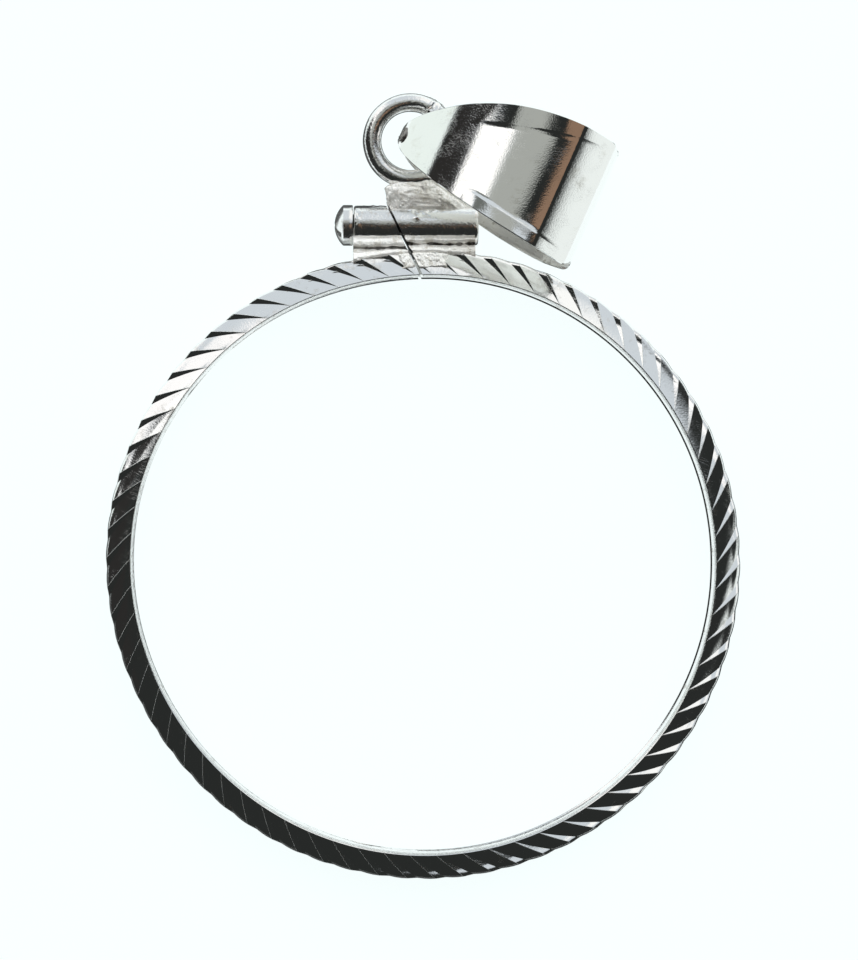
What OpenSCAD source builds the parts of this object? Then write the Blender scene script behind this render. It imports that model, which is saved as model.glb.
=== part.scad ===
// Screw-top coin bezel with a diamond-cut rim, a soldered loop and a sheet bail.
// It lies on its back. The origin is the centre of the coin, +Z comes out of the
// front face, +Y runs up to the loop, and +X runs along the clamp barrel.

/* [Coin] */
// Diameter of the coin that the rim holds
coin_d = 38.1; // [37.9:0.1:38.3]
// Thickness of the coin at its rim
coin_t = 2.4; // [2.3:0.1:2.5]

/* [Rim] */
// Thickness of the channel's outer wall, groove floor to tooth crests
wall_t = 0.6; // [0.55:0.05:0.8]
// Thickness of each of the two lips
lip_t = 0.4; // [0.35:0.05:0.5]
// How far each lip reaches in over the coin
lip_reach = 0.9; // [0.7:0.05:1]
// Number of slanted cuts round the rim
cut_count = 70; // [60:1:80]
// Turn of a cut's crest line from the lip to the wall, in degrees
crest_lean = 5.0; // [4:0.1:6]
// Turn of a cut's valley line from the lip to the wall, in degrees
valley_lean = 7.7; // [7:0.1:9]
// Width of the saw cut that lets the rim spring open
kerf_w = 0.18; // [0.14:0.02:0.24]
// Slant of the saw cut from straight up, in degrees
kerf_tilt = 25.2; // [20:0.2:30]

/* [Clamp] */
// Outer diameter of the barrel over the saw cut
barrel_d = 2.45; // [2.3:0.05:2.7]
// Height of the barrel's axis above the rim's centre
barrel_y = 21.2; // [21.1:0.05:21.5]
// Diameter of the screw's shank
screw_d = 1.4; // [1.2:0.1:1.5]
// Diameter of the screw's head
head_d = 2.55; // [2.4:0.05:2.7]

/* [Loop] */
// Wire diameter of the soldered loop
loop_wire = 1.16; // [1:0.02:1.2]
// Radius of the loop, to the middle of the wire
loop_r = 2.42; // [2.3:0.02:2.5]

/* [Bail] */
// Length of the bail, from its soldered tip to its round top
bail_l = 13.2; // [12:0.1:13.5]
// Depth of the bail, across both legs
bail_depth = 6.6; // [6.4:0.1:6.8]
// Half width of the bail at its round top
bail_half_w = 4.1; // [3.8:0.05:4.4]
// Thickness of the bail's sheet
bail_sheet = 0.34; // [0.3:0.02:0.4]
// Direction that the bail points in as it lies, in degrees from +X
bail_yaw = -24; // [-26:0.5:-20]
// Lift of the bail's round top off the table, in degrees
bail_pitch = 12.4; // [11.4:0.2:13.4]
// Sideways lean of the bail's legs, per millimetre of height
bail_lean = 0.04; // [0:0.01:0.12]

/* [Hidden] */
$fn = 96;
ring_fn = 180;
wire_fn = 48;
fit = 0.05;
past = 1;

// Rim: the groove takes the coin with a little play, and the lips trap it
groove_r = coin_d / 2 + fit;
groove_w = coin_t + 2 * fit;
rim_t = groove_w + 2 * lip_t;
face_z = rim_t / 2;
lip_r = groove_r - lip_reach - fit;
lip_land = 0.07;
tip_r = lip_r + lip_land;
rim_r = groove_r + wall_t;
cut_reach = rim_r - tip_r;

// Cuts run from the saw cut's left side all the way round; the saw took a little of the pattern
cut_start = 92.2;
sawn_away = 1.9;
pitch = (360 + sawn_away) / cut_count;
cut_drift = 1.05;

// Where the hand-closed rim departs from round: middle and width in degrees, offset outwards
BENDS = [[99, 23, -0.2], [171, 34, 0.25]];
MIDDLE = 0;
WIDTH = 1;
OFFSET = 2;

// Down a cut from its tip at the lip to the wall:
// share of the reach outwards, share of the depth below the face
CREST = [[0.40, 0.12], [0.78, 0.30], [0.93, 0.56], [1.00, 1.00]];
VALLEY = [[0.40, 0.20], [0.76, 0.48], [0.88, 0.72], [0.93, 1.16]];
OUT = 0;
DOWN = 1;
cut_depth = 0.95;

// Barrel, saddle and solder seat above the rim
barrel_x0 = -4.5;
barrel_x1 = 3.3;
barrel_bevel = 0.16;
saddle_x0 = -4.53;
saddle_x1 = 3.1;
saddle_half_t = 1.0;
saddle_y0 = groove_r - 0.2;
kerf_at = [-1.4, 20.3];
kerf_l = 8;

// Screw: head left of the barrel, shank through both halves
head_gap = 0.06;
head_l = 0.6;
dome_l = 0.55;
slot_w = 0.36;
slot_depth = 0.42;
slot_turn = 38;
shank_end_x = 2.8;
shank_bevel = 0.25;

// Loop, with its seat standing on the barrel's right half
loop_x = -0.93;
loop_y = 26.52;
seat_half_t = 0.75;
SEAT = [[-2.3, 22.1], [-2.6, 23.55], [-1.0, 23.7], [-0.45, 24.05], [0.15, 24.05],
        [0.85, 23.55], [2.5, 22.65], [2.85, 22.1]];

// Bail: its tip in the loop, in a frame with x along its length and z out of its front leg
bail_tip = [-1.4, 27.22];
bail_stations = 60;
bail_tip_half_w = 0.6;
widen_power = 0.75;
tip_round = 0.5;
tip_round_l = 0.25;
neck_shift = -0.4;
bow = 0.22;
flare_w = 1.4;
flare_min = 0.1;
flare_rise = 0.14;
flare_from = [2.5, 6.5];
flare_to = [6, 9];

// Side view of a leg from the tip: way along the sheet, and its slope off the bail's axis in degrees
SIDE = [[0, 90], [0.75, 62], [1.1, 34], [1.8, 30.5], [3.9, 29.5], [4.5, 25], [6.1, 12.5], [8.3, 0.5],
        [10.5, -10.5], [11.3, -16], [12.1, -23], [12.35, -43.5], [13.9, -48], [14.7, -54], [15.5, -90]];
side_l = SIDE[len(SIDE) - 1][0];
side_step = 0.05;

// A point at radius r and angle a, at height z
function polar(r, a, z) = [r * cos(a), r * sin(a), z];

// Shortest way round from angle b to angle a
function turn_from(a, b) = let (d = (a - b) % 360) d > 180 ? d - 360 : d < -180 ? d + 360 : d;

// Radius of a ring of nominal radius r at angle a, bent where the rim isn't round
function bend(b, a) = b[OFFSET] * exp(-pow(turn_from(a, b[MIDDLE]) / b[WIDTH], 2));
function bent(r, a) = r + bend(BENDS[0], a) + bend(BENDS[1], a);

// Angle of a cut's tip; the hand-set pitch drifts a little round the rim
function cut_angle(i) = cut_start + i * pitch - cut_drift * sin(180 * i / cut_count);

// A point of a cut's crest or valley line; side is 1 on the front and -1 on the back
function cut_point(i, row, lean, side) =
    let (a = cut_angle(i) + row[OUT] * lean)
    polar(bent(tip_r + row[OUT] * cut_reach, a), a, side * (face_z - row[DOWN] * cut_depth));

// Tip of a cut at the lip
function cut_tip(i, z) = polar(bent(tip_r, cut_angle(i)), cut_angle(i), z);

// Rings of crest and valley points, from the front tip ring over the wall to the back one
function cut_ring(k, side) =
    [for (i = [0:cut_count - 1]) each
        [cut_point(i, CREST[k], crest_lean, side), cut_point(i, VALLEY[k], valley_lean, side)]];

// Disc whose edge carries the slanted cuts, with flat faces inside the tips
module cut_blank() {
    n = cut_count;
    last = len(CREST) - 1;
    points = concat(
        [for (i = [0:n - 1]) cut_tip(i, face_z)],
        [for (k = [0:last]) each cut_ring(k, 1)],
        [for (k = [last:-1:0]) each cut_ring(k, -1)],
        [for (i = [0:n - 1]) cut_tip(i, -face_z)]);
    rings = 2 * len(CREST);
    back = n + 2 * n * rings;
    function crest(k, i) = n + 2 * n * k + 2 * (i % n);
    function valley(k, i) = crest(k, i) + 1;
    faces = concat(
        [[for (i = [n - 1:-1:0]) i]],
        [for (i = [0:n - 1]) each
            [[i, valley(0, i), crest(0, i)],
             [i, crest(0, i + 1), valley(0, i)],
             [i, (i + 1) % n, crest(0, i + 1)]]],
        [for (k = [0:rings - 2]) for (i = [0:n - 1]) each
            [[crest(k, i), valley(k, i), valley(k + 1, i)],
             [crest(k, i), valley(k + 1, i), crest(k + 1, i)],
             [valley(k, i), crest(k, i + 1), crest(k + 1, i + 1)],
             [valley(k, i), crest(k + 1, i + 1), valley(k + 1, i)]]],
        [for (i = [0:n - 1]) each
            [[back + i, crest(rings - 1, i), valley(rings - 1, i)],
             [back + i, valley(rings - 1, i), crest(rings - 1, i + 1)],
             [back + i, crest(rings - 1, i + 1), back + (i + 1) % n]]],
        [[for (i = [0:n - 1]) back + i]]);
    polyhedron(points, faces);
}

// The coin's round groove between the lips, and the window inside them
module coin_space() {
    step = 360 / ring_fn;
    cylinder(r = groove_r, h = groove_w, center = true, $fn = ring_fn);
    linear_extrude(2 * (face_z + past), center = true)
        polygon([for (a = [0:step:360 - step]) bent(lip_r, a) * [cos(a), sin(a)]]);
}

// A round bar along +X from x0 to x1 with bevelled ends
module bar(d, x0, x1, bevel) {
    translate([x0, 0, 0]) rotate([0, 90, 0])
        rotate_extrude()
            polygon([[0, 0], [d / 2 - bevel, 0], [d / 2, bevel],
                     [d / 2, x1 - x0 - bevel], [d / 2 - bevel, x1 - x0], [0, x1 - x0]]);
}

// Rim, barrel, saddle, seat and loop: soldered together, then sawn through at the top
module bezel_frame() {
    color("silver")
    difference() {
        union() {
            cut_blank();
            translate([saddle_x0, saddle_y0, -saddle_half_t])
                cube([saddle_x1 - saddle_x0, barrel_y - saddle_y0, 2 * saddle_half_t]);
            translate([0, barrel_y, 0]) bar(barrel_d, barrel_x0, barrel_x1, barrel_bevel);
            translate([0, 0, -seat_half_t]) linear_extrude(2 * seat_half_t) polygon(SEAT);
            translate([loop_x, loop_y, 0])
                rotate_extrude() translate([loop_r, 0]) circle(d = loop_wire, $fn = wire_fn);
        }
        coin_space();
        translate([barrel_x0 - past, barrel_y, 0]) rotate([0, 90, 0])
            cylinder(d = screw_d + 2 * fit, h = barrel_x1 - barrel_x0 + 2 * past);
        translate([kerf_at[0], kerf_at[1], 0]) rotate([0, 0, kerf_tilt])
            cube([kerf_w, kerf_l, 2 * (face_z + past)], center = true);
    }
}

// Clamp screw: slotted low-domed head, plain shank in the barrel's bore
module clamp_screw() {
    head_x1 = barrel_x0 - head_gap;
    head_x0 = head_x1 - head_l;
    dome_r = (head_d * head_d / 4 + dome_l * dome_l) / (2 * dome_l);
    color("gainsboro")
    translate([0, barrel_y, 0])
    difference() {
        union() {
            bar(screw_d, head_x1 - fit, shank_end_x, shank_bevel);
            translate([head_x0, 0, 0]) rotate([0, 90, 0]) cylinder(d = head_d, h = head_l);
            intersection() {
                translate([head_x0 - dome_l + dome_r, 0, 0]) sphere(dome_r);
                translate([head_x0 - dome_l - past, 0, 0]) rotate([0, 90, 0])
                    cylinder(d = head_d, h = dome_l + past + fit);
            }
        }
        rotate([slot_turn, 0, 0])
            translate([head_x0 - dome_l - past, -slot_w / 2, -head_d])
                cube([past + slot_depth, slot_w, 2 * head_d]);
    }
}

// The leg's outer line walked in short steps: [way, along, out]
function slope(a) = lookup(a, SIDE);
side_walk = [for (a = 0, p = [0, 0]; a <= side_l;
                  p = p + side_step * [cos(slope(a + side_step / 2)), sin(slope(a + side_step / 2))],
                  a = a + side_step)
                 [a, p[0], p[1]]];
side_along = [for (w = side_walk) [w[0], w[1]]];
side_out = [for (w = side_walk) [w[0], w[2]]];
along_k = bail_l / lookup(side_l, side_along);
out_k = bail_depth / 2 / max([for (w = side_walk) w[2]]);

// The same line set in by the sheet's thickness, where it lies on the leg's side of the axis
inner_walk = [for (w = side_walk)
                 let (x = w[1] * along_k + bail_sheet * sin(slope(w[0])),
                      z = w[2] * out_k - bail_sheet * cos(slope(w[0])))
                 if (z > 0) [w[0], x, z]];
inner_along = [for (w = inner_walk) [w[0], w[1]]];
inner_out = [for (w = inner_walk) [w[0], w[2]]];
inner_from = inner_walk[0][0];
inner_to = inner_walk[len(inner_walk) - 1][0];

// Outer and inner faces, [along, out] at turn t: the front leg to 180 degrees, the rear leg back from it
function leg_side(t) = t % 180 == 0 ? 0 : t < 180 ? 1 : -1;
function leg_share(t) = (1 - cos(t)) / 2;
function bail_outer(t) =
    let (a = side_l * leg_share(t))
    [along_k * lookup(a, side_along), leg_side(t) * out_k * lookup(a, side_out)];
function bail_inner(t) =
    let (a = inner_from + (inner_to - inner_from) * leg_share(t))
    [lookup(a, inner_along), leg_side(t) * lookup(a, inner_out)];

// Half width, sideways bow and flared edges of the strip at length s; leg is 0 in front, 1 behind
function bail_half(s) =
    (bail_tip_half_w + (bail_half_w - bail_tip_half_w) * sin(90 * pow(s / bail_l, widen_power)))
    * (1 - tip_round * exp(-s / tip_round_l));
function bail_bow(s) = neck_shift * pow(1 - s / bail_l, 2) + bow * sin(180 * s / bail_l);
function flare_share(s, leg) =
    min(1, max(0, (s - flare_from[leg]) / (flare_to[leg] - flare_from[leg])));

// Unit direction out of the strip at turn t
function bail_out(t) =
    let (a = bail_outer(t == 0 ? 359 : t - 1), b = bail_outer(t + 1), d = b - a, l = norm(d))
    [-d[1] / l, d[0] / l];

// One section across the strip: four points on its outer face, then four on its inner face
function bail_section(t) =
    let (o = bail_outer(t), i = bail_inner(t), n = bail_out(t), s = o[0],
         share = flare_share(s, t > 180 ? 1 : 0), e = share * flare_rise,
         b = flare_min + share * (flare_w - flare_min), mid = bail_bow(s) + bail_lean * o[1],
         lo = mid - bail_half(s), hi = mid + bail_half(s), oe = o + n * e, ie = i + n * e)
    [[oe[0], lo, oe[1]], [o[0], lo + b, o[1]], [o[0], hi - b, o[1]], [oe[0], hi, oe[1]],
     [ie[0], hi, ie[1]], [i[0], hi - b, i[1]], [i[0], lo + b, i[1]], [ie[0], lo, ie[1]]];

bail_points = [for (j = [0:bail_stations - 1]) each bail_section(360 * j / bail_stations)];

// Height of a bail point once it is pitched, and the lift that sets it on the table
function tilted_z(p) = p[0] * sin(bail_pitch) + p[2] * cos(bail_pitch);
bail_lift = -face_z - min([for (p = bail_points) tilted_z(p)]);

// Bail: one strip folded into a teardrop round the loop's wire, its ends soldered at the tip
module bail() {
    side = 8;
    n = bail_stations;
    function at(j, m) = side * (j % n) + m % side;
    faces = [for (j = [0:n - 1]) for (m = [0:side - 1]) each
        [[at(j, m), at(j, m + 1), at(j + 1, m + 1)],
         [at(j, m), at(j + 1, m + 1), at(j + 1, m)]]];
    color("lightgray")
    translate([bail_tip[0], bail_tip[1], bail_lift])
        rotate([0, -bail_pitch, bail_yaw])
            polyhedron(bail_points, faces);
}

bezel_frame();
clamp_screw();
bail();
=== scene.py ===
# Coin bezel, seen from above on a pale table: silver rim, clamp, loop and bail.
import itertools
import math

import bmesh
import bpy
import numpy as np
from mathutils import Matrix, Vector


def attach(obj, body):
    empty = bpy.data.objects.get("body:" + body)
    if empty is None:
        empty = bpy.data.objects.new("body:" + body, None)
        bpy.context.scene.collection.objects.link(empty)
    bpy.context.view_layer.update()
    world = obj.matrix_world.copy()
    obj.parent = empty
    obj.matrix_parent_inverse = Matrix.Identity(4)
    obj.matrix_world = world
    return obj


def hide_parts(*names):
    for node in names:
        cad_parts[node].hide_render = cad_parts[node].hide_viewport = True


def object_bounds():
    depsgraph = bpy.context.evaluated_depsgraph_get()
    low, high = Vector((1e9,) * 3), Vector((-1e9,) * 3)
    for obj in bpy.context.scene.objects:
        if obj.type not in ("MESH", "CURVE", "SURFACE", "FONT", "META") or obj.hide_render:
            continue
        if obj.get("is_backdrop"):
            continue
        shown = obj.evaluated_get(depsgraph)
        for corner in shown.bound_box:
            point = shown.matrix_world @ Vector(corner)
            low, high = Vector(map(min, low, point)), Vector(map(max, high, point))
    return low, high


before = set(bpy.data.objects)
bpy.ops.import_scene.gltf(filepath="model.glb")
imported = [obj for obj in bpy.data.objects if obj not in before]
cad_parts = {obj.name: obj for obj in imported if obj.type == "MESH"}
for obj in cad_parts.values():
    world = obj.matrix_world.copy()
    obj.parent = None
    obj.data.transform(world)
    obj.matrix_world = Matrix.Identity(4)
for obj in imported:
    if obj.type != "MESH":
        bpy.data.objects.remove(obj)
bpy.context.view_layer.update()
mm = 0.001      # shapes below are in millimetres
micron = 1e-6   # depths of grain and scratches are in micrometres
print("frame loaded")

# Sizes that several pieces share, as the solids have them
bezel = {
    "faceZ": 1.65,        # half the rim's thickness
    "grooveR": 19.1,      # floor of the coin's groove
    "grooveHalf": 1.25,   # half its width
    "lipR": 18.05,        # opening inside the lips
    "tipR": 18.2,         # where the cuts begin
    "rimR": 19.7,         # crests on the wall
    "barrelY": 21.2,
    "barrelR": 1.225,
    "boreR": 0.75,
    "barrelEnds": (-4.5, 3.3),
    "loopAt": (-0.93, 26.52),
    "loopR": 2.42,
    "wireR": 0.58,
}

# Saw cut: a slanted gap that leans to the left as it rises
sawCut = {
    "at": (-1.4, 20.3),   # a point in its middle
    "tilt": 25.2,         # degrees from upright
    "width": 0.18,
    "near": 0.012,        # a face this close to the gap's wall is part of it
}
sawNormal = np.array([math.cos(math.radians(sawCut["tilt"])), math.sin(math.radians(sawCut["tilt"])), 0])
sawOffset = sawNormal[:2] @ np.array(sawCut["at"])


def sawX(y, side):
    # x of the gap's wall at height y: (offset + side * width / 2 - y * normal y) / normal x
    return (sawOffset + side * sawCut["width"] / 2 - y * sawNormal[1]) / sawNormal[0]


latticeSize = 32
lattice = np.random.default_rng(7).uniform(-1, 1, (latticeSize, latticeSize, latticeSize))


def noise(points, cell, shift=0.0):
    # Smooth noise from -1 to 1: lattice values blended between cells by t * t * (3 - 2 t)
    scaled = np.asarray(points) / cell + shift
    base = np.floor(scaled).astype(int)
    t = scaled - base
    t = t * t * (3 - 2 * t)
    total = 0
    for corner in itertools.product((0, 1), repeat=3):
        weight = np.prod(np.where(np.array(corner) == 1, t, 1 - t), axis=-1)
        cellAt = (base + np.array(corner)) % latticeSize
        total = total + weight * lattice[cellAt[..., 0], cellAt[..., 1], cellAt[..., 2]]
    return total


def crust(points, cell, shift=0.0):
    # Rough solder: three octaves of noise, each half as wide and 0.55 as strong as the one before
    return sum(0.55 ** k * noise(points, cell / 2 ** k, shift + 3.1 * k) for k in range(3))


def smoothStep(low, high, x):
    # 0 below low, 1 above high, and t * t * (3 - 2 t) between them
    t = np.clip((x - low) / (high - low), 0, 1)
    return t * t * (3 - 2 * t)


def polar(r, degrees, z):
    # x = r cos, y = r sin of the angle, and z
    a = np.radians(degrees)
    return np.stack(np.broadcast_arrays(r * np.cos(a), r * np.sin(a), z), -1)


def turnedBy(degrees, a, b):
    # The pair a, b turned in its plane: a cos - b sin, a sin + b cos
    w = math.radians(degrees)
    return a * math.cos(w) - b * math.sin(w), a * math.sin(w) + b * math.cos(w)


def circleSteps(count):
    # Evenly spaced angles once round, in radians
    return np.linspace(0, 2 * np.pi, count, endpoint=False)


def splineRows(table, count):
    # A Catmull-Rom curve through the table's rows, at count evenly spaced steps
    table = np.asarray(table, float)
    ends = np.vstack([2 * table[0] - table[1], table, 2 * table[-1] - table[-2]])
    at = np.linspace(0, len(table) - 1, count)
    k = np.minimum(at.astype(int), len(table) - 2)
    t = (at - k)[:, None]
    a, b, c, d = (ends[k + j] for j in range(4))
    return b + 0.5 * t * (c - a + t * (2 * a - 5 * b + 4 * c - d + t * (3 * (b - c) + d - a)))


def gridFaces(rows, cols, closeRows=False, closeCols=False, start=0):
    # Quads between neighbours of a rows by cols grid, wrapped round where asked
    r, c = np.meshgrid(np.arange(rows - (not closeRows)), np.arange(cols - (not closeCols)), indexing="ij")
    r2, c2 = (r + 1) % rows, (c + 1) % cols
    quads = np.stack([r * cols + c, r * cols + c2, r2 * cols + c2, r2 * cols + c], -1)
    return (quads.reshape(-1, 4) + start).tolist()


def tubeFaces(points):
    # Quads round sections that follow each other, and one flat face over each end
    n, m = points.shape[:2]
    return gridFaces(n, m, closeCols=True) + [list(range(m)), list(range((n - 1) * m, n * m))[::-1]]


def faceMiddles(points, faces):
    # The mean of each face's corners
    flat = np.asarray(points).reshape(-1, 3)
    return np.array([flat[face].mean(0) for face in faces])


def onSawCut(middles):
    # True within half the saw cut's width of its middle plane, and a little more
    return np.abs(middles @ sawNormal - sawOffset) < sawCut["width"] / 2 + sawCut["near"]


def makePiece(name, points, faces, look, body, node=None, sharp=40, second=None):
    # Points in millimetres and faces become one closed, outward, smooth object on a body; the second look
    # comes with a mask of the faces it covers
    mesh = bpy.data.meshes.new(name)
    mesh.from_pydata((np.asarray(points).reshape(-1, 3) * mm).tolist(), [], faces)
    mesh.materials.append(look)
    if second:
        mesh.materials.append(second[0])
        mesh.polygons.foreach_set("material_index", np.asarray(second[1]).astype(np.int32))
    work = bmesh.new()
    work.from_mesh(mesh)
    bmesh.ops.remove_doubles(work, verts=work.verts, dist=2e-7)   # in metres
    bmesh.ops.dissolve_degenerate(work, dist=1e-7, edges=work.edges)
    bmesh.ops.recalc_face_normals(work, faces=work.faces)
    work.to_mesh(mesh)
    work.free()
    mesh.polygons.foreach_set("use_smooth", np.ones(len(mesh.polygons), bool))
    mesh.set_sharp_from_angle(angle=math.radians(sharp))
    piece = bpy.data.objects.new(name, mesh)
    bpy.context.scene.collection.objects.link(piece)
    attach(piece, body)
    if node:
        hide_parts(node)


# Looks
def addNode(tree, kind, inputs=None, **settings):
    # One node with its settings; inputs that are sockets are linked and the others become fixed values
    node = tree.nodes.new(kind)
    for key, value in settings.items():
        setattr(node, key, value)
    for key, value in (inputs or {}).items():
        if isinstance(value, bpy.types.NodeSocket):
            tree.links.new(value, node.inputs[key])
        else:
            node.inputs[key].default_value = value
    return node


def doMath(tree, operation, a, b=0.0, c=0.0):
    # The operation on a, b and, where it takes three, c
    return addNode(tree, "ShaderNodeMath", {0: a, 1: b, 2: c}, operation=operation).outputs[0]


def cloudNoise(tree, vector, scale, detail, **more):
    # Noise texture from 0 to 1, scale in cells per metre
    inputs = {"Vector": vector, "Scale": scale, "Detail": detail, **more}
    return addNode(tree, "ShaderNodeTexNoise", inputs).outputs[0]


def ramp(tree, value, low, high):
    # 0 to 1 as value goes from low to high, eased at both ends
    return addNode(tree, "ShaderNodeMapRange", {"Value": value, "From Min": low, "From Max": high},
                   interpolation_type="SMOOTHSTEP").outputs[0]


def newGroup(name, inputs, outputs):
    # An empty shader node group with its sockets: (name, Float, Vector or Color, value) and (name, kind)
    group = bpy.data.node_groups.new(name, "ShaderNodeTree")
    for socketName, kind, value in inputs:
        socket = group.interface.new_socket(socketName, in_out="INPUT", socket_type="NodeSocket" + kind)
        if value is not None:
            socket.default_value = value
    for socketName, kind in outputs:
        group.interface.new_socket(socketName, in_out="OUTPUT", socket_type="NodeSocket" + kind)
    return group, addNode(group, "NodeGroupInput").outputs, addNode(group, "NodeGroupOutput")


def makeGrainGroup():
    # Height in metres of small dents: (fine noise - 0.5) * fine depth + (coarse noise - 0.5) * coarse depth
    group, give, end = newGroup(
        "metalGrain",
        (("Vector", "Vector", None), ("Fine", "Float", 9000.0), ("Fine Depth", "Float", 1e-6),
         ("Coarse", "Float", 1500.0), ("Coarse Depth", "Float", 1e-6)),
        (("Height", "Float"),))
    parts = []
    for size, depth, detail in (("Fine", "Fine Depth", 2.0), ("Coarse", "Coarse Depth", 3.0)):
        cloud = cloudNoise(group, give["Vector"], give[size], detail)
        parts.append(doMath(group, "MULTIPLY", doMath(group, "SUBTRACT", cloud, 0.5), give[depth]))
    group.links.new(doMath(group, "ADD", *parts), end.inputs["Height"])
    return group


def makeScratchGroup():
    # Hairlines: noise stretched along one direction, 1 at its middle value and 0 beyond Width of it
    group, give, end = newGroup(
        "scratches",
        (("Vector", "Vector", None), ("Turn", "Float", 0.0), ("Scale", "Float", 6000.0),
         ("Length", "Float", 0.04), ("Width", "Float", 0.012)),
        (("Mask", "Float"),))
    turned = addNode(group, "ShaderNodeVectorRotate", {"Vector": give["Vector"], "Angle": give["Turn"]},
                     rotation_type="Z_AXIS")
    stretch = addNode(group, "ShaderNodeCombineXYZ", {0: give["Length"], 1: 1.0, 2: 0.5})
    drawn = addNode(group, "ShaderNodeVectorMath", {0: turned.outputs[0], 1: stretch.outputs[0]},
                    operation="MULTIPLY")
    cloud = cloudNoise(group, drawn.outputs[0], give["Scale"], 0.0)
    off = doMath(group, "ABSOLUTE", doMath(group, "SUBTRACT", cloud, 0.5))
    line = addNode(group, "ShaderNodeMapRange", {"Value": off, "From Min": 0.0, "From Max": give["Width"],
                                                 "To Min": 1.0, "To Max": 0.0})
    # Only some of the lines show: a broad cloud fades the others out
    broad = cloudNoise(group, give["Vector"], 900.0, 1.0)
    shown = addNode(group, "ShaderNodeMapRange", {"Value": broad, "From Min": 0.42, "From Max": 0.62})
    group.links.new(doMath(group, "MULTIPLY", line.outputs[0], shown.outputs[0]), end.inputs["Mask"])
    return group


def makeStainGroup():
    # Patches of dull metal: two clouds multiplied, 0 bright below Low and 1 stained above High
    group, give, end = newGroup(
        "stains",
        (("Vector", "Vector", None), ("Scale", "Float", 1200.0), ("Low", "Float", 0.2),
         ("High", "Float", 0.45)),
        (("Mask", "Float"),))
    small = cloudNoise(group, give["Vector"], give["Scale"], 4.0, Roughness=0.62)
    wide = cloudNoise(group, give["Vector"], doMath(group, "MULTIPLY", give["Scale"], 0.31), 1.0)
    both = doMath(group, "MULTIPLY", small, wide)
    group.links.new(ramp(group, both, give["Low"], give["High"]), end.inputs["Mask"])
    return group


grainGroup = makeGrainGroup()
scratchGroup = makeScratchGroup()
stainGroup = makeStainGroup()


def newMaterial(name):
    # A material with only its Principled shader
    material = bpy.data.materials.new(name)
    material.use_nodes = True
    tree = material.node_tree
    return material, tree, tree.nodes["Principled BSDF"]


def perMetre(size):
    # Cells per metre for cells of this size in millimetres
    return 1000 / size


def silver(name, look):
    # Metal whose colour and roughness go from clean to stained; its height is the grain less the scratches
    material, tree, shader = newMaterial(name)
    at = addNode(tree, "ShaderNodeTexCoord").outputs["Object"]
    shader.inputs["Metallic"].default_value = look["metal"]
    stain = addNode(tree, "ShaderNodeGroup",
                    {"Vector": at, "Scale": perMetre(look["stainSize"]), "Low": look["stainRange"][0],
                     "High": look["stainRange"][1]}, node_tree=stainGroup).outputs["Mask"]
    height = addNode(tree, "ShaderNodeGroup",
                     {"Vector": at, "Fine": perMetre(look["fine"][0]), "Fine Depth": look["fine"][1] * micron,
                      "Coarse": perMetre(look["coarse"][0]), "Coarse Depth": look["coarse"][1] * micron},
                     node_tree=grainGroup).outputs["Height"]
    for turn in look["scratchTurns"]:
        lines = addNode(tree, "ShaderNodeGroup",
                        {"Vector": at, "Turn": math.radians(turn), "Scale": perMetre(look["scratchGap"])},
                        node_tree=scratchGroup)
        deep = doMath(tree, "MULTIPLY", lines.outputs["Mask"], look["scratchDepth"] * micron)
        height = doMath(tree, "SUBTRACT", height, deep)
    mix = addNode(tree, "ShaderNodeMix", {"Factor": stain, "A": (*look["clean"], 1),
                                          "B": (*look["stained"], 1)}, data_type="RGBA")
    tree.links.new(mix.outputs["Result"], shader.inputs["Base Color"])
    rough = addNode(tree, "ShaderNodeMapRange", {"Value": stain, "To Min": look["rough"][0],
                                                 "To Max": look["rough"][1]})
    tree.links.new(rough.outputs[0], shader.inputs["Roughness"])
    bump = addNode(tree, "ShaderNodeBump", {"Height": height, "Distance": 1.0, "Strength": 1.0})
    tree.links.new(bump.outputs[0], shader.inputs["Normal"])
    return material


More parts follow.
